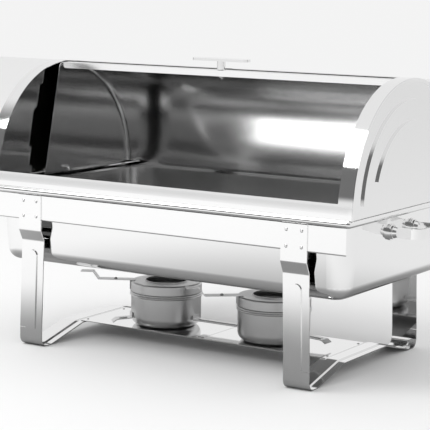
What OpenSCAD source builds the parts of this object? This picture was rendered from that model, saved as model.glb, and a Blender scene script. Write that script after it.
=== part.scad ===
// Roll-top chafing dish: a stand of two bent leg frames and two aprons, a
// water pan with bow handles, a food pan, a half-round hood with an inner
// rolling lid, and a linked pair of fuel burners on a low shelf.
// X runs along the length, -Y is the front, +Z is up. The origin is on the
// floor under the centre.

/* [Water pan] */
// Length over the rolled rim
rim_l = 590; // [570:1:640]
// Width over the rolled rim
rim_w = 340; // [330:1:360]
// Height of the top of the rim above the floor
rim_top = 229; // [222:1:250]
// Height of the rolled rim bead
rim_h = 9.7; // [8:0.1:11]
// Corner radius of the rim in plan
rim_corner = 6; // [6:0.5:12]
// Vertical corner radius of the pan body at the top
body_corner = 32; // [29:1:45]
// Depth of the pan body below the rim top
body_d = 109; // [96:1:112]
// How far the walls lean in over the body depth
body_lean = 8; // [3:0.5:9]
// Radius between the walls and the bottom
body_fillet = 18; // [8:1:19]
// Sheet thickness of both pans
pan_t = 0.9; // [0.7:0.1:1.2]

/* [Food pan] */
// Distance between the food pan's flange and the rim ends
food_gap = 30; // [26:1:60]
// Width of the flange
food_flange = 13.5; // [10:0.5:16]
// Depth of the food pan
food_d = 65; // [40:1:80]
// Corner radius of the food pan body
food_corner = 45; // [30:1:50]
// Radius between the food pan's walls and its floor
food_fillet = 12; // [6:1:16]

/* [Pan handles] */
// Distance between the two feet of a bow handle
grip_span = 66; // [50:1:110]
// Distance of the handle centre below the rim top
grip_drop = 30.5; // [24:0.5:40]
// How far the bow stands out beyond the rim end
grip_reach = 33; // [24:1:50]
// Height of the handle strip
grip_h = 14; // [8:1:18]
// Thickness of the handle strip
grip_t = 3.5; // [2:0.5:5]
// Radius of the round collars
collar_r = 11; // [9:0.5:13]

/* [Hood] */
// Height of the shell's axis above the rim top
axis_up = 7; // [6.5:0.1:10]
// Sheet thickness of the hood
hood_t = 1; // [0.8:0.1:1.4]
// Width of the end strips beside the window
strip_w = 21.2; // [18:0.1:28]
// Height of the sill under the window
sill_h = 20; // [14:1:21]
// Distance of the window's rear edge behind the middle
window_back = 5; // [4:0.5:12]
// Width of the crimped band round each end cap
crimp_w = 6; // [4:0.5:7]
// Radius of the outer pressed panel of an end cap
pad_r = 138; // [125:1:145]
// Radius of the inner pressed half-moon of an end cap
moon_r = 110; // [90:1:118]
// Height of each pressed step
pad_h = 2.6; // [1:0.1:4]
// Radius of the pivot studs
stud_r = 4; // [3:0.1:4.4]

/* [Rolling lid] */
// Sheet thickness of the lid
lid_t = 0.9; // [0.7:0.1:1.2]
// Angle of the lid's front edge when open, from the rear horizontal
lid_front_deg = 96; // [96:0.5:98]
// Angle of the lid's rear edge when open
lid_rear_deg = 0; // [0:0.5:8]
// Radius between the lid's shell and its ends
lid_fillet = 8; // [4:0.5:10]
// Depth of the turned-in lip along the front edge
lip_h = 8.5; // [5:0.5:10]
// Depth of the lid ends below the pivot
end_drop = 14; // [11:0.5:14]
// Distance of the lid ends' front corner from the pivot
end_front = 53; // [30:1:54]

/* [Lid handle] */
// Length of the flat grip
bar_l = 93.4; // [60:0.2:130]
// Width of the flat grip
bar_w = 18; // [14:1:24]
// Thickness of the flat grip
bar_t = 3.6; // [2:0.2:6]
// Angle of the handle post when open, from the rear horizontal
post_deg = 92.3; // [92:0.1:92.4]
// Height of the post
post_h = 12.3; // [9:0.1:20]
// Radius of the post
post_r = 6.2; // [4:0.1:6.4]

/* [Stand] */
// Distance of each leg frame's centre from the middle
leg_x = 214; // [190:1:220]
// Width of the leg strip
leg_w = 38.7; // [32:0.1:44]
// Sheet thickness of the leg strip
leg_t = 1.5; // [1:0.1:2]
// Height of the joggle's lower end
joggle_low = 154; // [150:1:158]
// Height of the joggle's upper end
joggle_top = 169; // [166:1:174]
// How far the joggle steps the leg inwards
joggle_in = 7.5; // [4:0.5:8]
// How far the foot stands outside the leg plate along X
splay = 4; // [0:0.5:8]
// Distance of the ramp's foot from the middle
ramp_foot = 138; // [126:1:142]
// Distance of the ramp's top from the middle
ramp_top = 62; // [60:1:75]
// Height of the top of the bridge between the ramps
bridge_z = 20.5; // [14:0.5:28]
// Width of the pressed rib
rib_w = 16; // [8:1:20]
// Height of the pressed rib
rib_h = 1.8; // [0.8:0.1:2.4]
// Length of each apron
apron_l = 577.2; // [520:0.2:578]
// Height of each apron
apron_h = 35.5; // [32:0.5:44]
// Sheet thickness of each apron
apron_t = 1.2; // [1:0.1:1.5]
// Spacing of the rivets along X
rivet_dx = 22.6; // [16:0.2:24]
// Spacing of the rivets along Z
rivet_dz = 21.6; // [14:0.2:22]
// Width of the burner shelf
shelf_w = 116; // [110:1:118]
// Sheet thickness of the burner shelf
shelf_t = 1; // [0.8:0.1:1.5]

/* [Burners] */
// Distance of each burner's axis from the middle
cup_x = 91.6; // [85:0.1:100]
// Distance of both burners in front of the middle
cup_front = 2; // [0:0.5:4]
// Outer radius of a cup
cup_r = 51.5; // [46:0.5:53]
// Height of a cup with its rolled rim
cup_h = 50; // [42:0.5:54]
// Rounding radius of the cup's bottom edge
cup_fillet = 13; // [8:1:18]
// Height of a cover above the cup's rim
cover_h = 14; // [10:0.5:18]
// Radius of the flame opening in a cover
flame_r = 30; // [18:1:36]
// Reach of the left burner's side handle from its axis
arm_left = 80; // [74:1:90]
// Reach of the right burner's side handle from its axis
arm_right = 90; // [80:1:94]
// Turn of the left burner's side handle towards the front
arm_left_deg = 45; // [30:1:60]
// Turn of the right burner's side handle towards the front
arm_right_deg = 3; // [0:1:30]
// Width of the side handles and of the link bar
arm_w = 17; // [12:1:22]
// Turn of the left cover's lever towards the front
lever_left_deg = 29; // [20:1:50]
// Turn of the right cover's lever towards the front
lever_right_deg = 40; // [20:1:50]
// Reach of a cover lever from the burner's axis
lever_reach = 126; // [116:1:128]
// Width of a cover lever
lever_w = 16; // [8:0.5:18]

/* [Hidden] */

$fn = 96;
eps = 0.01;
fit = 0.05;
polished = [0.86, 0.87, 0.88];
brushed = [0.72, 0.73, 0.74];
dark_steel = [0.45, 0.46, 0.48];

// Water pan: half sizes and levels that the sizes above settle
rim_low = rim_top - rim_h;
body_half_l = rim_l / 2 - 9;
body_half_w = rim_w / 2 - 11;
body_floor = rim_top - body_d;
grip_z = rim_top - grip_drop;
wall_slope = body_lean / body_d;
grip_wall_x = body_half_l - wall_slope * grip_drop;

// Food pan: its flange rests on the long sides of the water pan's rim
food_rest = 4.4;
food_half_l = rim_l / 2 - food_gap;
food_half_w = body_half_w - pan_t + food_rest;
food_top = rim_top + pan_t;

// Hood: its skirt stands on the flat top of the rim
axis_z = rim_top + axis_up;
hood_r = rim_w / 2 - rim_h / 2 - 0.15;
crimp_r = hood_r + 0.1;
shell_half = rim_l / 2 - crimp_w;
cap_in = rim_l / 2 - 2;
cap_t = 1;
window_half = rim_l / 2 - strip_w;
sill_z = rim_top + sill_h;

// Lid: it rolls inside the hood with a small gap
lid_gap = 0.7;
lid_r = hood_r - hood_t - lid_gap;
lid_end_x = window_half + 5.7;
lid_shell_half = lid_end_x - lid_fillet;
lid_in_r = lid_r - lid_fillet;
side_play = 0.3;
bush_in = lid_end_x + side_play;
washer_t = 1;
washer_out = lid_end_x - lid_t - side_play;
nut_l = 8;
nut_r = 7.2;
blind = 0.7;
post_screw_r = 2.5;

// Stand: plates and aprons stand under the rim bead
apron_in = rim_w / 2 - 2.5 - apron_t;
plate_y = apron_in + apron_t + leg_t;
leg_y = plate_y - joggle_in;
foot_x = leg_x + splay;
shelf_half = foot_x - leg_w / 2 + 6.5;
shelf_top = bridge_z + shelf_t;

// Burners: the covers turn on the cups, clear of their rims
cup_t = 0.8;
cup_top = shelf_top + cup_h;
bead_r = 1.7;
cover_r = cup_r + 0.8;
cover_low = cup_top + 0.3;
cover_top = cover_low + cover_h;
lever_t = 1;
arm_t = 1.2;

// Points of an arc about c, from angle a0 to a1
function arc(c, r, a0, a1, n) =
  [for (i = [0 : n]) let (a = a0 + (a1 - a0) * i / n) c + r * [cos(a), sin(a)]];

// A unit vector and the left-hand normal of a step
function unit(v) = v / norm(v);
function left_of(v) = [-v.y, v.x];

// The shortest signed turn from angle a to angle b
function turn(a, b) =
  let (d = (b - a) % 360)
  d > 180 ? d - 360 : d < -180 ? d + 360 : d;

// The arc that rounds the corner b of a path a-b-c with radius r
function corner_arc(a, b, c, r, n) =
  let (u = unit(a - b), w = unit(c - b), half = acos(u * w) / 2,
       m = b + unit(u + w) * r / sin(half),
       p = b + u * r / tan(half) - m, q = b + w * r / tan(half) - m,
       a0 = atan2(p.y, p.x))
  arc(m, r, a0, a0 + turn(a0, atan2(q.y, q.x)), n);

// A path with its inner corners rounded by the radii in r
function round_path(v, r, n = 6) = concat(
  [v[0]],
  [for (i = [1 : len(v) - 2]) each corner_arc(v[i - 1], v[i], v[i + 1], r[i - 1], n)],
  [v[len(v) - 1]]);

// A path moved sideways by d, to its left when d is positive
function shift_path(p, d) =
  [for (i = [0 : len(p) - 1])
    let (before = unit(p[max(i, 1)] - p[max(i, 1) - 1]),
         after = unit(p[min(i, len(p) - 2) + 1] - p[min(i, len(p) - 2)]),
         n = unit(left_of(before) + left_of(after)))
    p[i] + n * d / (n * left_of(before))];

function reversed(p) = [for (i = [len(p) - 1 : -1 : 0]) p[i]];

// A closed band between two sideways shifts of a path
module band(p, d0, d1) {
  polygon(concat(shift_path(p, d0), reversed(shift_path(p, d1))));
}

// Extrudes a (Y, Z) outline along X from x0 to x1
module along_x(x0, x1) {
  translate([x0, 0, 0])
    rotate([90, 0, 90])
      linear_extrude(x1 - x0) children();
}

// Extrudes an (X, Z) outline along Y, centred on the middle
module along_y(width) {
  rotate([90, 0, 0]) linear_extrude(width, center = true) children();
}

// Turns a (radius, X) outline about the hood's axis from angle a0 to a1
module about_axis(a0, a1) {
  translate([0, 0, axis_z])
    rotate([90, 0, 90])
      rotate([0, 0, a0])
        rotate_extrude(angle = a1 - a0, $fn = 180) children();
}

// Moves a piece built about the vertical through the hood's axis to an angle
module at_angle(a) {
  translate([0, 0, axis_z]) rotate([a - 90, 0, 0]) children();
}

// The piece and its mirror image at the other end
module both_ends() {
  children();
  mirror([1, 0, 0]) children();
}

// The piece and its mirror image at the other side
module both_sides() {
  children();
  mirror([0, 1, 0]) children();
}

// A rectangle with round corners
module round_rect(half_x, half_y, r) {
  square([2 * (half_x - r), 2 * half_y], center = true);
  square([2 * half_x, 2 * (half_y - r)], center = true);
  for (sx = [-1, 1], sy = [-1, 1])
    translate([sx * (half_x - r), sy * (half_y - r)]) circle(r);
}

// A quarter of a ring about the origin, outwards and downwards
module quarter_ring(r, t) {
  intersection() {
    difference() {
      circle(r);
      circle(r - t);
    }
    translate([0, -r - t]) square(r + t);
  }
}

// Carries an outline (distance from a corner's centre, Z) round a rectangle
// whose corner centres are at +-cx, +-cy
module rect_sweep(cx, cy) {
  for (q = [0 : 3])
    translate([(q == 0 || q == 3 ? 1 : -1) * cx, (q < 2 ? 1 : -1) * cy, 0])
      rotate([0, 0, 90 * q])
        rotate_extrude(angle = 90) children();
  both_ends() translate([cx, 0, 0]) along_y(2 * cy) children();
  both_sides() rotate([0, 0, 90]) translate([cy, 0, 0]) along_y(2 * cx) children();
}

// An open pan body: walls leaning in by slope, a fillet and a flat floor
module pan_body(half_x, half_y, r, top, floor_z, slope, fillet, t) {
  bend_z = floor_z + fillet;
  bend_r = r - slope * (top - bend_z);
  flat_r = bend_r - fillet;
  rect_sweep(half_x - r, half_y - r) {
    union() {
      polygon([[r, top], [bend_r, bend_z], [bend_r - t, bend_z], [r - t, top]]);
      translate([flat_r, bend_z]) quarter_ring(fillet, t);
    }
  }
  translate([0, 0, floor_z]) linear_extrude(t)
    round_rect(half_x - r + flat_r, half_y - r + flat_r, flat_r);
}

// ---- Stand ----

// One leg frame: plates, joggles, legs, feet and bridge of one bent strip
module leg_frame() {
  leg_low = 26;
  rib_top = joggle_low - 22;
  lean = atan(splay / (joggle_low - leg_low));
  plate_path = round_path(
    [[-plate_y, rim_low], [-plate_y, joggle_top], [-leg_y, joggle_low],
     [-leg_y, joggle_low - 5]], [6, 6]);
  half_foot = round_path(
    [[-leg_y, leg_low], [-leg_y, 0], [-ramp_foot, 0],
     [-ramp_top, bridge_z - leg_t], [0, bridge_z - leg_t]], [12, 16, 30]);
  foot_path = concat([for (p = half_foot) if (p.x < 0) p],
                     [for (p = reversed(half_foot)) if (p.x < 0) [-p.x, p.y]]);
  rib_path = [for (p = foot_path) if (p.y < leg_low) p];
  color(polished) difference() {
    union() {
      both_sides() {
        along_x(leg_x - leg_w / 2, leg_x + leg_w / 2) band(plate_path, 0, leg_t);
        translate([leg_x, -leg_y, joggle_low]) rotate([0, -lean, 0])
          translate([0, 0, leg_low - joggle_low]) {
            translate([-leg_w / 2, 0, 0]) cube([leg_w, leg_t, joggle_low - leg_low]);
            translate([-rib_w / 2, -rib_h, 0]) cube([rib_w, rib_h + eps, rib_top - leg_low]);
            translate([0, eps, rib_top - leg_low]) rotate([90, 0, 0])
              cylinder(r = rib_w / 2, h = rib_h + eps);
          }
      }
      along_x(foot_x - leg_w / 2, foot_x + leg_w / 2) band(foot_path, 0, leg_t);
      along_x(foot_x - rib_w / 2, foot_x + rib_w / 2)
        band(rib_path, leg_t - eps, leg_t + rib_h);
    }
    both_sides() apron_holes();
    shelf_rivet_places() translate([0, 0, -6]) cylinder(r = rivet_r, h = 12, $fn = 24);
  }
}

module leg_frame_left() {
  mirror([1, 0, 0]) leg_frame();
}

module leg_frame_right() {
  leg_frame();
}

// An apron strip with a turned-in hem along its lower edge
module apron() {
  hem = 3.5;
  path = round_path(
    [[-apron_in - apron_t, rim_low], [-apron_in - apron_t, rim_low - apron_h],
     [-apron_in + hem, rim_low - apron_h]], [2.2]);
  color(polished) along_x(-apron_l / 2, apron_l / 2) band(path, 0, apron_t);
}

module front_apron() {
  difference() {
    apron();
    apron_holes();
  }
}

module rear_apron() {
  mirror([0, 1, 0]) front_apron();
}

// Puts a piece on every rivet axis, pointing out of the leg plates
module rivet_places() {
  first_z = rim_low - 8.2;
  for (sx = [-1, 1], i = [-0.5, 0.5], j = [0, 1])
    translate([sx * leg_x + i * rivet_dx, -plate_y, first_z - j * rivet_dz])
      rotate([90, 0, 0]) children();
}

rivet_r = 1.5;

module apron_holes() {
  rivet_places() translate([0, 0, -leg_t - apron_t - 1])
    cylinder(r = rivet_r, h = leg_t + apron_t + 2, $fn = 24);
}

// Four domed rivets at each leg plate, through the plate and the apron
module stand_rivets() {
  head_r = 2.4;
  head_h = 0.9;
  grip = leg_t + apron_t;
  color(brushed) both_sides() rivet_places() {
    cylinder(r1 = head_r, r2 = head_r * 0.55, h = head_h, $fn = 24);
    translate([0, 0, -grip]) cylinder(r = rivet_r - fit, h = grip, $fn = 24);
    translate([0, 0, -grip - head_h]) cylinder(r = head_r, h = head_h, $fn = 24);
  }
}

// The shelf plate with a shallow rib across its middle
module burner_shelf() {
  rib_half = 5;
  shelf_rib_h = 0.8;
  color(polished) difference() {
    union() {
      translate([0, 0, bridge_z]) linear_extrude(shelf_t)
        square([2 * shelf_half, shelf_w], center = true);
      translate([0, 0, shelf_top - eps]) linear_extrude(shelf_rib_h + eps)
        square([2 * rib_half, shelf_w - 16], center = true);
    }
    shelf_rivet_places() translate([0, 0, -leg_t - 2])
      cylinder(r = rivet_r, h = leg_t + shelf_t + 3, $fn = 24);
  }
}

module shelf_rivet_places() {
  for (sx = [-1, 1], sy = [-1, 1])
    translate([sx * (shelf_half - 3.4), sy * (shelf_w / 2 - 12), shelf_top - shelf_t])
      children();
}

module shelf_rivets() {
  head_r = 2.2;
  head_h = 0.8;
  color(brushed) shelf_rivet_places() {
    translate([0, 0, shelf_t]) cylinder(r1 = head_r, r2 = 1.2, h = head_h, $fn = 24);
    translate([0, 0, -leg_t]) cylinder(r = rivet_r - fit, h = leg_t + shelf_t, $fn = 24);
    translate([0, 0, -leg_t - head_h]) cylinder(r = head_r, h = head_h, $fn = 24);
  }
}

// ---- Water pan and food pan ----

module water_pan() {
  mid = rim_h / 2;
  color(polished) difference() {
    union() {
      pan_body(body_half_l, body_half_w, body_corner, rim_top, body_floor, wall_slope,
               body_fillet, pan_t);
      translate([0, 0, rim_top - pan_t]) linear_extrude(pan_t) difference() {
        round_rect(rim_l / 2 - mid, rim_w / 2 - mid, rim_corner - mid);
        round_rect(body_half_l - pan_t, body_half_w - pan_t, body_corner - pan_t);
      }
      rect_sweep(rim_l / 2 - rim_corner, rim_w / 2 - rim_corner) rim_roll();
    }
    handle_places() screw_hole();
  }
}

// Half-round bead of the rolled edge, on a flat back
module rim_roll() {
  mid = rim_h / 2;
  back = rim_corner - mid;
  translate([0, rim_low]) square([back + eps, rim_h]);
  intersection() {
    translate([back, rim_low + mid]) circle(mid);
    translate([back, rim_low]) square([mid, rim_h]);
  }
}

// Puts a piece at each handle foot, pointing out of the end wall along +Z
module handle_places() {
  both_ends() for (sy = [-1, 1])
    translate([grip_wall_x, sy * grip_span / 2, grip_z])
      rotate([0, 90, 0]) children();
}

handle_screw_r = 2;

module screw_hole() {
  translate([0, 0, -6]) cylinder(r = handle_screw_r + fit, h = 12, $fn = 32);
}

collar_l = 6.5;
neck_l = 5;

// Stepped round collars that stand on the sloping end wall
module pan_handle_collars() {
  bore_l = collar_l + neck_l - 2;
  color(polished) difference() {
    handle_places() {
      translate([0, 0, -2]) cylinder(r = collar_r, h = collar_l / 2 + 2, $fn = 64);
      translate([0, 0, collar_l / 2]) cylinder(r = collar_r - 1.6, h = collar_l / 2, $fn = 64);
      translate([0, 0, collar_l])
        cylinder(r1 = collar_r - 3, r2 = grip_h / 2 - 1, h = neck_l, $fn = 64);
    }
    handle_places() translate([0, 0, -3])
      cylinder(r = handle_screw_r + fit, h = bore_l + 3, $fn = 32);
    end_wall_solid();
  }
}

// What lies inside the outer face of the two sloping end walls
module end_wall_solid() {
  low = grip_z - collar_r - 4;
  high = grip_z + collar_r + 4;
  along_y(grip_span + 4 * collar_r)
    polygon([[-wall_x(high), high], [-wall_x(low), low], [wall_x(low), low],
             [wall_x(high), high]]);
}

// Distance of the end wall's outer face from the middle at height z
function wall_x(z) = body_half_l - wall_slope * (rim_top - z);

// Pan-head screws from inside the water pan into the collars
module pan_handle_screws() {
  head_h = 1.3;
  seat = pan_t + wall_slope * 4 + 0.1;
  color(brushed) handle_places() {
    translate([0, 0, -seat]) cylinder(r = handle_screw_r, h = seat + 8, $fn = 32);
    translate([0, 0, -seat - head_h]) cylinder(r = 3.6, h = head_h, $fn = 32);
  }
}

// A flat strip bent to a bow between the two collars of one end
module pan_handle() {
  foot = grip_wall_x + collar_l + neck_l;
  out = rim_l / 2 + grip_reach;
  half = grip_span / 2;
  bend = 13;
  path = round_path([[-half, foot], [-half, out], [half, out], [half, foot]],
                    [bend, bend], 12);
  color(polished) translate([0, 0, grip_z - grip_h / 2])
    linear_extrude(grip_h)
      mirror([1, -1]) band(path, -grip_t / 2, grip_t / 2);
}

module pan_handle_left() {
  mirror([1, 0, 0]) pan_handle();
}

module pan_handle_right() {
  pan_handle();
}

module food_pan() {
  in_l = food_half_l - food_flange;
  in_w = food_half_w - food_flange;
  slope = 0.06;
  color(brushed) {
    pan_body(in_l, in_w, food_corner, food_top, food_top - food_d, slope, food_fillet, pan_t);
    translate([0, 0, rim_top]) linear_extrude(pan_t) difference() {
      round_rect(food_half_l, food_half_w, food_flange);
      round_rect(in_l - pan_t, in_w - pan_t, food_corner - pan_t);
    }
  }
}

// ---- Hood ----

// Half-round shell on straight skirts, with the window cut out of its front
module hood_shell() {
  color(polished) difference() {
    along_x(-shell_half, shell_half) half_round(hood_r, hood_t);
    translate([-window_half, -2 * hood_r, sill_z])
      cube([2 * window_half, 2 * hood_r + window_back, 2 * hood_r]);
  }
}

// A half ring about the hood's axis with legs down to the rim
module half_round(r, t) {
  difference() {
    half_disc(r);
    half_disc(r - t);
  }
}

// A half disc about the hood's axis with its lower edge on the rim
module half_disc(r) {
  intersection() {
    translate([0, axis_z]) circle(r, $fn = 180);
    translate([-r, axis_z]) square([2 * r, r]);
  }
  translate([-r, rim_top]) square([2 * r, axis_up + eps]);
}

// The part of a disc about the hood's axis that lies above z
module moon(r, z) {
  intersection() {
    translate([0, axis_z]) circle(r, $fn = 180);
    translate([-r, z]) square([2 * r, 2 * r]);
  }
}

// End cap with two pressed steps and a crimped band round its edge
module hood_end() {
  pad_z = axis_z + 9;
  moon_z = axis_z + 37;
  color(polished) difference() {
    union() {
      along_x(cap_in, cap_in + cap_t) half_disc(crimp_r - crimp_w / 2);
      along_x(shell_half, rim_l / 2 - 1) half_round(crimp_r, crimp_w);
      along_x(rim_l / 2 - 1 - eps, rim_l / 2) difference() {
        half_disc(crimp_r - 1);
        half_disc(crimp_r - crimp_w + 1);
      }
      along_x(cap_in, cap_in + cap_t + pad_h) moon(pad_r, pad_z);
      along_x(cap_in, cap_in + cap_t + 2 * pad_h) moon(moon_r, moon_z);
    }
    along_x(cap_in - eps, cap_in + pad_h) moon(pad_r - cap_t, pad_z + cap_t);
    along_x(cap_in - eps, cap_in + 2 * pad_h) moon(moon_r - cap_t, moon_z + cap_t);
  }
}

module hood_end_left() {
  mirror([1, 0, 0]) hood_end();
}

module hood_end_right() {
  hood_end();
}

// Puts a piece on the pivot axis of each end, pointing outwards from x
module pivot_places(x) {
  both_ends() translate([x, 0, axis_z]) rotate([0, 90, 0]) children();
}

module pivot_studs() {
  stud_in = washer_out - washer_t - nut_l + blind * stud_r + side_play;
  color(brushed) pivot_places(stud_in) cylinder(r = stud_r, h = cap_in - stud_in, $fn = 48);
}

module pivot_bushes() {
  color(dark_steel) pivot_places(bush_in) difference() {
    cylinder(r = axis_up - 1, h = cap_in - bush_in, $fn = 48);
    translate([0, 0, -1]) cylinder(r = stud_r + fit, h = cap_in - bush_in + 2, $fn = 48);
  }
}

module pivot_washers() {
  color(brushed) pivot_places(washer_out - washer_t) difference() {
    cylinder(r = nut_r + 1.8, h = washer_t, $fn = 48);
    translate([0, 0, -1]) cylinder(r = stud_r + fit, h = washer_t + 2, $fn = 48);
  }
}

// Acorn nuts inside the hood, one on each stud
module pivot_nuts() {
  color(brushed) pivot_places(washer_out - washer_t - nut_l) acorn(nut_r, nut_l, stud_r);
}

// A hexagon with a domed blind end at z = 0, bored from z = h
module acorn(r, h, bore_r) {
  dome_r = r * 0.84;
  difference() {
    union() {
      translate([0, 0, h * 0.45]) cylinder(r = r, h = h * 0.55, $fn = 6);
      intersection() {
        translate([0, 0, dome_r]) sphere(dome_r, $fn = 48);
        cylinder(r = dome_r, h = h * 0.46, $fn = 48);
      }
    }
    translate([0, 0, blind * bore_r]) cylinder(r = bore_r + fit, h = h, $fn = 48);
  }
}

// ---- Rolling lid ----

module lid_shell() {
  color(polished) difference() {
    union() {
      about_axis(lid_rear_deg, lid_front_deg)
        translate([lid_r - lid_t, -lid_shell_half]) square([lid_t, 2 * lid_shell_half]);
      at_angle(lid_front_deg) lid_lip();
    }
    at_angle(post_deg) translate([0, 0, lid_r - 3])
      cylinder(r = post_screw_r + fit, h = 6, $fn = 32);
  }
}

// The turned-in lip with rounded lower corners
module lid_lip() {
  corner = 0.45 * lip_h;
  half = lid_shell_half - 0.2;
  translate([0, lid_t, lid_r - lip_h]) rotate([90, 0, 0]) linear_extrude(lid_t) {
    translate([-half, corner]) square([2 * half, lip_h - corner - 0.02]);
    translate([corner - half, 0]) square([2 * (half - corner), corner + eps]);
    for (s = [-1, 1]) translate([s * (half - corner), corner]) circle(corner, $fn = 48);
  }
}

// Flat end sector with a rounded edge that meets the shell
module lid_end() {
  heel = 15;
  far = 2 * lid_r;
  from = [cos(lid_rear_deg), sin(lid_rear_deg)];
  to = [cos(lid_front_deg), sin(lid_front_deg)];
  color(polished) difference() {
    union() {
      about_axis(lid_rear_deg, lid_front_deg)
        translate([lid_in_r, lid_shell_half]) rotate([0, 0, 90]) quarter_ring(lid_fillet, lid_t);
      translate([0, 0, axis_z]) along_x(lid_end_x - lid_t, lid_end_x) {
        polygon([lid_in_r * from, lid_in_r * to, [-end_front, -end_drop],
                 [heel, -end_drop]]);
        intersection() {
          circle(lid_in_r + eps, $fn = 180);
          polygon([[0, 0], far * from, far * (from + to), far * to]);
        }
      }
    }
    translate([lid_end_x - lid_t - 1, 0, axis_z]) rotate([0, 90, 0])
      cylinder(r = stud_r + fit, h = lid_t + 2, $fn = 48);
  }
}

module lid_end_left() {
  mirror([1, 0, 0]) lid_end();
}

module lid_end_right() {
  lid_end();
}

grip_low = lid_r + post_h;

// Flat grip bar with round ends
module lid_handle_grip() {
  half = bar_l / 2;
  color(polished) at_angle(post_deg) translate([0, 0, grip_low]) linear_extrude(bar_t) {
    square([2 * half - bar_w, bar_w], center = true);
    for (s = [-1, 1]) translate([s * (half - bar_w / 2), 0]) circle(bar_w / 2);
  }
}

// Post with a threaded stud through the lid
module lid_handle_post() {
  stud_l = 11;
  color(brushed) at_angle(post_deg) translate([0, 0, lid_r]) {
    cylinder(r = post_r, h = post_h, $fn = 48);
    translate([0, 0, -stud_l]) cylinder(r = post_screw_r, h = stud_l + eps, $fn = 32);
  }
}

module lid_handle_nut() {
  nut_h = 12;
  under = 0.2;
  color(brushed) at_angle(post_deg)
    translate([0, 0, lid_r - lid_t - under - nut_h]) acorn(6, nut_h, post_screw_r);
}

// ---- Burners ----

// Moves a piece built about the origin to a burner; s is -1 for the left one
module at_burner(s) {
  translate([s * cup_x, -cup_front, 0]) children();
}

// A round cup with a rounded bottom edge and a double rolled rim
module cup() {
  wall_in = cup_r - cup_t;
  color(brushed) rotate_extrude() {
    translate([cup_r - cup_fillet, shelf_top + cup_fillet]) quarter_ring(cup_fillet, cup_t);
    translate([wall_in, shelf_top + cup_fillet]) square([cup_t, cup_h - cup_fillet]);
    translate([0, shelf_top]) square([cup_r - cup_fillet, cup_t]);
    for (i = [0, 1]) translate([cup_r + 0.3, cup_top - bead_r - 1.8 * bead_r * i])
      circle(bead_r, $fn = 32);
  }
}

module burner_cup_left() {
  at_burner(-1) cup();
}

module burner_cup_right() {
  at_burner(1) cup();
}

// A strip in the (reach, Z) plane of a burner, centred on that plane
module strip(path, t, width) {
  along_y(width) band(path, 0, t);
}

// Side handle: a tab on the cup's wall, a sloping strip and a drooping tip
module arm(reach, root_z) {
  tab_top = shelf_top + 19;
  tip_z = root_z - 5.5;
  tip_len = 6;
  path = round_path(
    [[cup_r, tab_top], [cup_r, root_z], [reach - tip_len, root_z - 1.5],
     [reach, tip_z]], [2, 5]);
  spine = [[cup_r + 7, root_z - 0.4], [reach - tip_len - 4, root_z - 1.25]];
  color(brushed) {
    strip(path, arm_t, arm_w);
    translate([0, 0, 1]) strip(spine, arm_t, arm_w / 3);
  }
}

module burner_handle_left() {
  at_burner(-1) rotate([0, 0, 180 + arm_left_deg]) arm(arm_left, shelf_top + 10.5);
}

module burner_handle_right() {
  at_burner(1) rotate([0, 0, -arm_right_deg]) arm(arm_right, shelf_top + 13);
}

// Straight bar between the two cups with a tab at each end
module burner_link_bar() {
  half = cup_x - cup_r;
  bar_z = shelf_top + 12;
  tab_top = shelf_top + 19;
  path = round_path([[-half, tab_top], [-half, bar_z], [half, bar_z], [half, tab_top]],
                    [2, 2]);
  spine = [[7 - half, bar_z], [half - 7, bar_z]];
  color(brushed) translate([0, -cup_front, 0]) {
    strip(path, arm_t, arm_w);
    translate([0, 0, 1]) strip(spine, arm_t, arm_w / 3);
  }
}

// Cover ring with a raised lip round its flame opening and a locating step
module cover() {
  cover_t = 1;
  edge = 2.5;
  step_r = cup_r - cup_t - 0.6;
  color(brushed) rotate_extrude() {
    translate([cover_r - cover_t, cover_low]) square([cover_t, cover_h - edge + eps]);
    translate([cover_r - edge, cover_top - edge]) mirror([0, 1]) quarter_ring(edge, cover_t);
    translate([flame_r, cover_top - cover_t]) square([cover_r - edge - flame_r + eps, cover_t]);
    translate([flame_r, cover_top - cover_t]) square([cover_t, cover_t + 1.6]);
    translate([step_r - cover_t, cover_low]) square([cover_r - step_r + eps, cover_t]);
    translate([step_r - cover_t, cover_low - 3]) square([cover_t, 3 + cover_t]);
  }
}

module cover_left() {
  at_burner(-1) cover();
}

module cover_right() {
  at_burner(1) cover();
}

// Lever: a tab on the cover's wall, a flat strip and a raised tongue
module lever() {
  root = cover_r - 7;
  tab_low = cover_low + 1;
  rise = 11;
  bend_x = lever_reach - 26;
  step_x = lever_reach - 18;
  path = round_path(
    [[root, cover_top], [bend_x, cover_top], [step_x, cover_top + rise],
     [lever_reach, cover_top + rise]], [2, 2]);
  color(brushed) difference() {
    union() {
      strip(path, lever_t, lever_w);
      translate([cover_r, -lever_w / 2, tab_low])
        cube([lever_t, lever_w, cover_top - tab_low + eps]);
    }
    lever_rivet_hole();
  }
}

lever_rivet_at = 75;

module lever_rivet_hole() {
  translate([lever_rivet_at, 0, cover_top - 2]) cylinder(r = rivet_r, h = 6, $fn = 24);
}

module lever_rivet() {
  head_r = 3;
  color(brushed) translate([lever_rivet_at, 0, cover_top]) {
    translate([0, 0, lever_t]) cylinder(r1 = head_r, r2 = 1.6, h = 2, $fn = 32);
    cylinder(r = rivet_r - fit, h = lever_t, $fn = 24);
    translate([0, 0, -1]) cylinder(r = head_r, h = 1, $fn = 32);
  }
}

module cover_lever_left() {
  at_burner(-1) rotate([0, 0, 180 + lever_left_deg]) lever();
}

module cover_lever_right() {
  at_burner(1) rotate([0, 0, 180 + lever_right_deg]) lever();
}

module lever_rivet_left() {
  at_burner(-1) rotate([0, 0, 180 + lever_left_deg]) lever_rivet();
}

module lever_rivet_right() {
  at_burner(1) rotate([0, 0, 180 + lever_right_deg]) lever_rivet();
}

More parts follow.
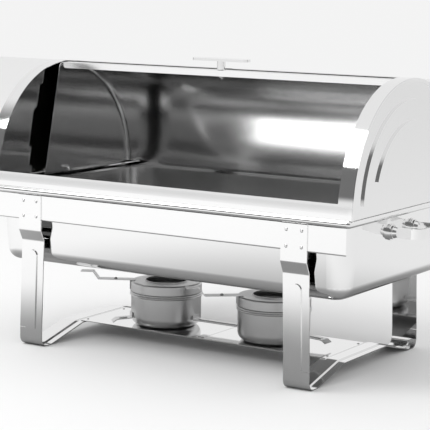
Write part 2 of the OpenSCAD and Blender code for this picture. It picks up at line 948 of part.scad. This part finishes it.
leg_frame_left();
leg_frame_right();
front_apron();
rear_apron();
stand_rivets();
burner_shelf();
shelf_rivets();
water_pan();
pan_handle_left();
pan_handle_right();
pan_handle_collars();
pan_handle_screws();
food_pan();
hood_shell();
hood_end_left();
hood_end_right();
pivot_studs();
pivot_bushes();
pivot_washers();
pivot_nuts();
lid_shell();
lid_end_left();
lid_end_right();
lid_handle_grip();
lid_handle_post();
lid_handle_nut();
burner_cup_left();
burner_cup_right();
burner_link_bar();
burner_handle_left();
burner_handle_right();
cover_left();
cover_right();
cover_lever_left();
cover_lever_right();
lever_rivet_left();
lever_rivet_right();
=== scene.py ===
"""Roll-top chafing dish: polished steel hood, lid and pans on a strip stand, with two linked burners."""

import math

import bpy
from mathutils import Matrix, Vector

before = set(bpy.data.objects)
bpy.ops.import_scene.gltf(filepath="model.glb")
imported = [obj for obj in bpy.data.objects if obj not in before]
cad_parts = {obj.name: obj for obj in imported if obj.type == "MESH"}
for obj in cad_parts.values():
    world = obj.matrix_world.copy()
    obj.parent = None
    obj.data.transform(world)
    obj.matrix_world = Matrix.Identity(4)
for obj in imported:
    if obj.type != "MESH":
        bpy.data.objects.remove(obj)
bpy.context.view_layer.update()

# The camera: its place in metres, its turns in degrees and its lens in millimetres
CAMERA_PLACE = (1.22198, -1.97270, 0.53257)
CAMERA_TURN = 32.0
CAMERA_DIP = 8.376
CAMERA_ROLL = 0.967
SENSOR_WIDTH = 36.0
LENS = 137.09888
FAR_LIMIT = 50

# The studio: sizes in metres, greys from 0 to 1
FLOOR_HALF = 6.0
FLOOR_LEVEL = -0.0002
FLOOR_GREY = 0.9
# Painted shade: near the object the metal's reflections see the floor at this grey, fading out between
# these distances in metres
NEAR_FLOOR_PAINTED_SHADE_GREY = 0.3
PAINTED_SHADE_RANGE = (0.35, 0.8)
FRONT_WALL_GREY = 0.2
WORLD_STRENGTH = 0.9


# ---------------------------------------------------------------- camera
def make_camera():
    """A camera looking slightly down on the front and the right-hand end."""
    a = math.radians(CAMERA_TURN)
    e = math.radians(CAMERA_DIP)
    roll = math.radians(CAMERA_ROLL)
    level = math.cos(e)
    forward = Vector((-math.sin(a) * level, math.cos(a) * level, -math.sin(e)))
    right = Vector((math.cos(a), math.sin(a), 0))
    up = right.cross(forward)
    c = math.cos(roll)
    s = math.sin(roll)
    x_axis = c * right + s * up
    y_axis = -s * right + c * up
    turn = Matrix((x_axis, y_axis, -forward)).transposed().to_4x4()
    data = bpy.data.cameras.new("studio_camera")
    data.sensor_width = SENSOR_WIDTH
    data.lens = LENS
    data.clip_end = FAR_LIMIT
    camera = bpy.data.objects.new("studio_camera", data)
    bpy.context.scene.collection.objects.link(camera)
    camera.matrix_world = Matrix.Translation(Vector(CAMERA_PLACE)) @ turn
    bpy.context.scene.camera = camera


make_camera()


# ---------------------------------------------------------------- materials
def new_material(name):
    """An empty node material and its Principled shader."""
    material = bpy.data.materials.new(name)
    material.use_nodes = True
    return material, material.node_tree.nodes["Principled BSDF"]


def steel_wear_group():
    """Fine polish lines and faint smudges: puts out a roughness and a bump height."""
    group = bpy.data.node_groups.new("steel_wear", "ShaderNodeTree")
    face = group.interface
    for label, value in (("Roughness", 0.1), ("Smudge", 0.05), ("Line Scale", 60.0)):
        socket = face.new_socket(label, in_out="INPUT", socket_type="NodeSocketFloat")
        socket.default_value = value
    face.new_socket("Stretch", in_out="INPUT", socket_type="NodeSocketVector")
    face.new_socket("Roughness", in_out="OUTPUT", socket_type="NodeSocketFloat")
    face.new_socket("Height", in_out="OUTPUT", socket_type="NodeSocketFloat")
    n = group.nodes
    link = group.links.new
    inlet = n.new("NodeGroupInput")
    outlet = n.new("NodeGroupOutput")
    coord = n.new("ShaderNodeTexCoord")
    stretch = n.new("ShaderNodeVectorMath")
    stretch.operation = "MULTIPLY"
    link(coord.outputs["Object"], stretch.inputs[0])
    link(inlet.outputs["Stretch"], stretch.inputs[1])
    lines = n.new("ShaderNodeTexNoise")
    lines.inputs["Detail"].default_value = 4
    link(stretch.outputs[0], lines.inputs["Vector"])
    link(inlet.outputs["Line Scale"], lines.inputs["Scale"])
    cloud = n.new("ShaderNodeTexNoise")
    cloud.inputs["Scale"].default_value = 14
    cloud.inputs["Detail"].default_value = 3
    link(coord.outputs["Object"], cloud.inputs["Vector"])
    centre = n.new("ShaderNodeMath")
    centre.operation = "SUBTRACT"
    link(cloud.outputs["Fac"], centre.inputs[0])
    centre.inputs[1].default_value = 0.5
    scaled = n.new("ShaderNodeMath")
    scaled.operation = "MULTIPLY"
    link(centre.outputs[0], scaled.inputs[0])
    link(inlet.outputs["Smudge"], scaled.inputs[1])
    total = n.new("ShaderNodeMath")
    total.operation = "ADD"
    total.use_clamp = True
    link(scaled.outputs[0], total.inputs[0])
    link(inlet.outputs["Roughness"], total.inputs[1])
    link(total.outputs[0], outlet.inputs["Roughness"])
    link(lines.outputs["Fac"], outlet.inputs["Height"])
    return group


WEAR = steel_wear_group()


def steel(name, colour, rough, smudge=0.05, line_scale=60.0, stretch=(1, 1, 1), bump=0.0):
    """A metal whose roughness carries faint smudges and whose surface carries fine lines."""
    material, shader = new_material(name)
    n = material.node_tree.nodes
    link = material.node_tree.links.new
    shader.inputs["Base Color"].default_value = (*colour, 1)
    shader.inputs["Metallic"].default_value = 1.0
    wear = n.new("ShaderNodeGroup")
    wear.node_tree = WEAR
    wear.inputs["Roughness"].default_value = rough
    wear.inputs["Smudge"].default_value = smudge
    wear.inputs["Line Scale"].default_value = line_scale
    wear.inputs["Stretch"].default_value = stretch
    link(wear.outputs["Roughness"], shader.inputs["Roughness"])
    if bump:
        relief = n.new("ShaderNodeBump")
        relief.inputs["Strength"].default_value = bump
        relief.inputs["Distance"].default_value = 0.0002
        link(wear.outputs["Height"], relief.inputs["Height"])
        link(relief.outputs["Normal"], shader.inputs["Normal"])
    return material


MIRROR = steel("mirror_steel", (0.86, 0.86, 0.86), 0.06, 0.05)
SOFT_MIRROR = steel("soft_mirror_steel", (0.80, 0.80, 0.80), 0.16, 0.06)
SATIN = steel("satin_steel", (0.66, 0.66, 0.66), 0.30, 0.1, 220.0, (1, 1, 0.05), 0.2)
PLAIN = steel("plain_steel", (0.72, 0.72, 0.72), 0.2, 0.06)

LOOK = {
    "lid_shell": SOFT_MIRROR, "lid_end_left": SOFT_MIRROR, "lid_end_right": SOFT_MIRROR,
    "food_pan": PLAIN,
}
for name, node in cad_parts.items():
    if name.startswith(("burner_cup", "burner_link", "burner_handle", "cover_")):
        material = SATIN
    elif "rivet" in name or "screw" in name or "pivot" in name or name == "lid_handle_nut":
        material = PLAIN
    else:
        material = LOOK.get(name, MIRROR)
    node.data.materials.clear()
    node.data.materials.append(material)


# ---------------------------------------------------------------- studio
def ramp(tree, value, low, high, start, end):
    """Value carried smoothly from start at low to end at high."""
    node = tree.nodes.new("ShaderNodeMapRange")
    node.interpolation_type = "SMOOTHSTEP"
    tree.links.new(value, node.inputs["Value"])
    for label, number in (("From Min", low), ("From Max", high), ("To Min", start), ("To Max", end)):
        node.inputs[label].default_value = number
    return node.outputs["Result"]


def times(tree, a, b):
    """The product of two values."""
    node = tree.nodes.new("ShaderNodeMath")
    node.operation = "MULTIPLY"
    tree.links.new(a, node.inputs[0])
    tree.links.new(b, node.inputs[1])
    return node.outputs[0]


def blend(tree, mask, plain, masked):
    """A grey that is plain where the mask is 0 and masked where it is 1."""
    node = tree.nodes.new("ShaderNodeMix")
    node.data_type = "RGBA"
    tree.links.new(mask, node.inputs["Factor"])
    node.inputs["A"].default_value = (plain, plain, plain, 1)
    node.inputs["B"].default_value = (masked, masked, masked, 1)
    return node.outputs["Result"]


def make_floor():
    """A wide flat floor: pale, with painted shade close by that only the metal's reflections show."""
    mesh = bpy.data.meshes.new("studio_floor")
    r = FLOOR_HALF
    corners = [(x, y, FLOOR_LEVEL) for x, y in ((-r, -r), (r, -r), (r, r), (-r, r))]
    mesh.from_pydata(corners, [], [(0, 1, 2, 3)])
    floor = bpy.data.objects.new("studio_floor", mesh)
    bpy.context.scene.collection.objects.link(floor)
    material, shader = new_material("studio_white_painted_shade")
    tree = material.node_tree
    coord = tree.nodes.new("ShaderNodeTexCoord")
    length = tree.nodes.new("ShaderNodeVectorMath")
    length.operation = "LENGTH"
    tree.links.new(coord.outputs["Object"], length.inputs[0])
    path = tree.nodes.new("ShaderNodeLightPath")
    # Painted shade: glossy rays see the floor darker near the object, standing in for its shadow in the
    # metal's reflections
    painted_shade_near = ramp(tree, length.outputs["Value"], *PAINTED_SHADE_RANGE, 1, 0)
    mask = times(tree, painted_shade_near, path.outputs["Is Glossy Ray"])
    tree.links.new(blend(tree, mask, FLOOR_GREY, NEAR_FLOOR_PAINTED_SHADE_GREY), shader.inputs["Base Color"])
    shader.inputs["Roughness"].default_value = 0.9
    mesh.materials.append(material)


def make_world():
    """Soft white surroundings; the metal mirrors a dim front wall from 2 to 55 degrees up."""
    world = bpy.data.worlds.new("studio_world")
    bpy.context.scene.world = world
    world.use_nodes = True
    tree = world.node_tree
    coord = tree.nodes.new("ShaderNodeTexCoord")
    split = tree.nodes.new("ShaderNodeSeparateXYZ")
    tree.links.new(coord.outputs["Generated"], split.inputs[0])
    path = tree.nodes.new("ShaderNodeLightPath")
    front = ramp(tree, split.outputs["Y"], -0.5, -0.1, 1, 0)
    above = ramp(tree, split.outputs["Z"], 0.02, 0.12, 0, 1)
    below = ramp(tree, split.outputs["Z"], 0.72, 0.88, 1, 0)
    wall = times(tree, times(tree, front, above), below)
    mask = times(tree, wall, path.outputs["Is Glossy Ray"])
    background = tree.nodes["Background"]
    tree.links.new(blend(tree, mask, 1.0, FRONT_WALL_GREY), background.inputs["Color"])
    background.inputs["Strength"].default_value = WORLD_STRENGTH


def make_lamp(name, place, target, size, power):
    """A square softbox at a place, turned to a target."""
    data = bpy.data.lights.new(name, "AREA")
    data.size = size
    data.energy = power
    lamp = bpy.data.objects.new(name, data)
    bpy.context.scene.collection.objects.link(lamp)
    lamp.location = place
    lamp.rotation_euler = (Vector(target) - Vector(place)).to_track_quat("-Z", "Y").to_euler()


make_floor()
make_world()
make_lamp("key_softbox", (-1.2, -1.6, 2.4), (0, 0, 0.2), 1.6, 30)
bpy.context.scene.view_settings.view_transform = "Standard"
